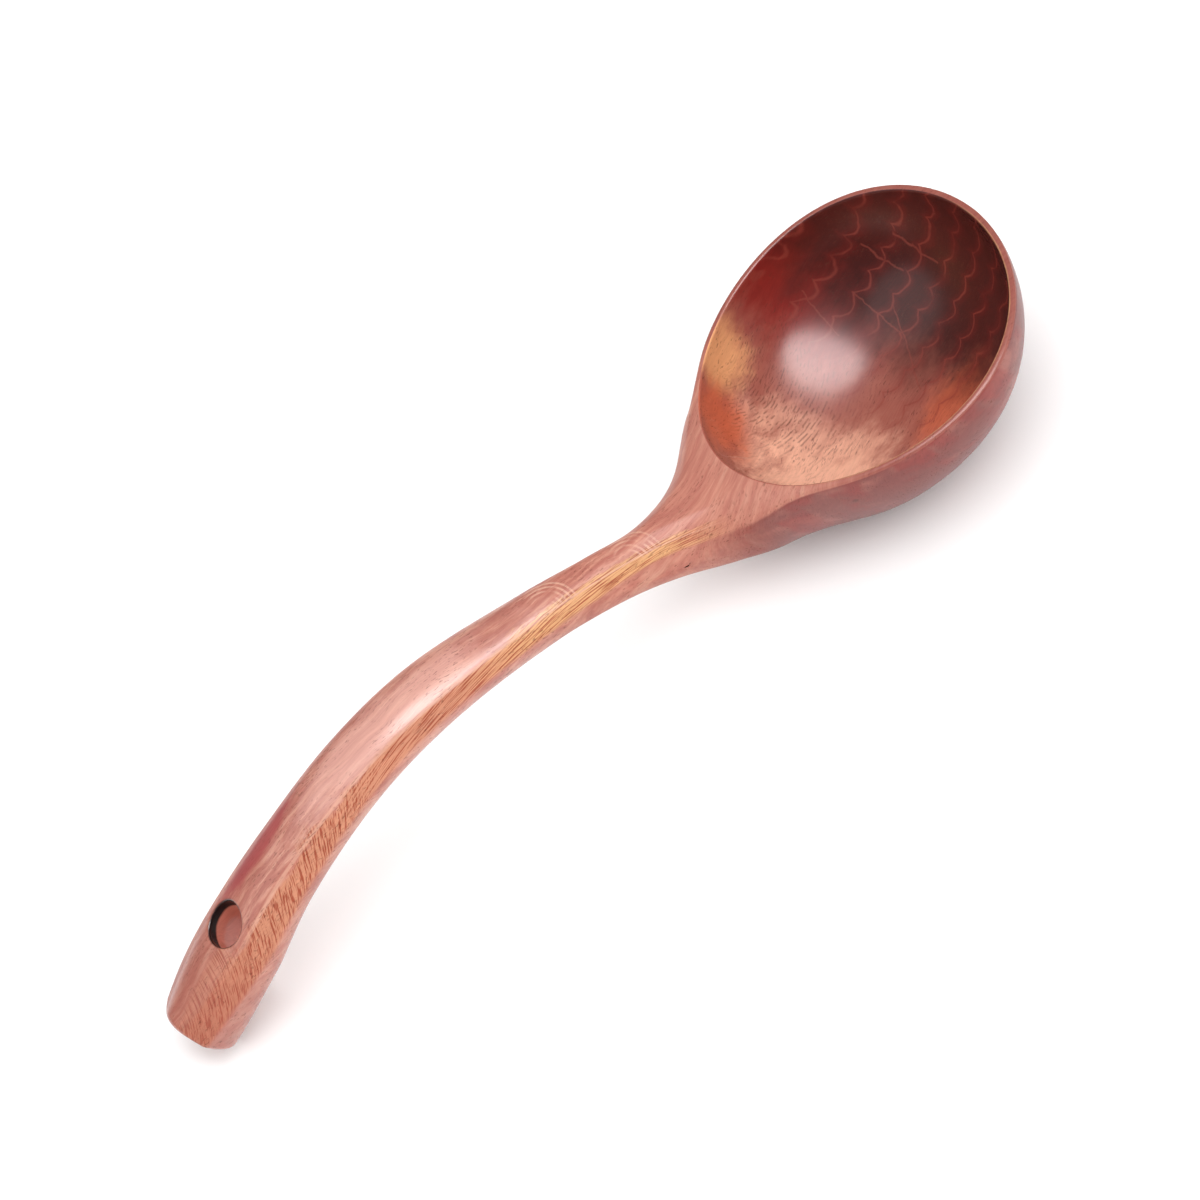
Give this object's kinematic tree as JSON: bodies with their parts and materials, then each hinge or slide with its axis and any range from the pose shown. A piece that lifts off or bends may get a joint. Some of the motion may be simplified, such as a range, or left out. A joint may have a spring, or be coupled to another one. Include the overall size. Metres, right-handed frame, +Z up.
{
  "type": "wooden soup ladle",
  "caption": "One-piece carved wooden ladle with a deep round bowl, flared neck, arched bevelled handle and a hanging hole, for scooping and serving soup.",
  "frame": {"origin": "Middle of the ladle's bounding box in plan, at the level of the table it stands on.", "axes": "+Z up. +X runs along the ladle from the tip of the handle towards the bowl. The XZ plane is the mirror plane."},
  "size_m": [0.2329, 0.0682, 0.0432],
  "materials": {
    "lacquered_wood": "satin clear lacquer over reddish figured wood"
  },
  "bodies": {
    "root": {"ladle": "lacquered_wood"}
  },
  "joints": []
}
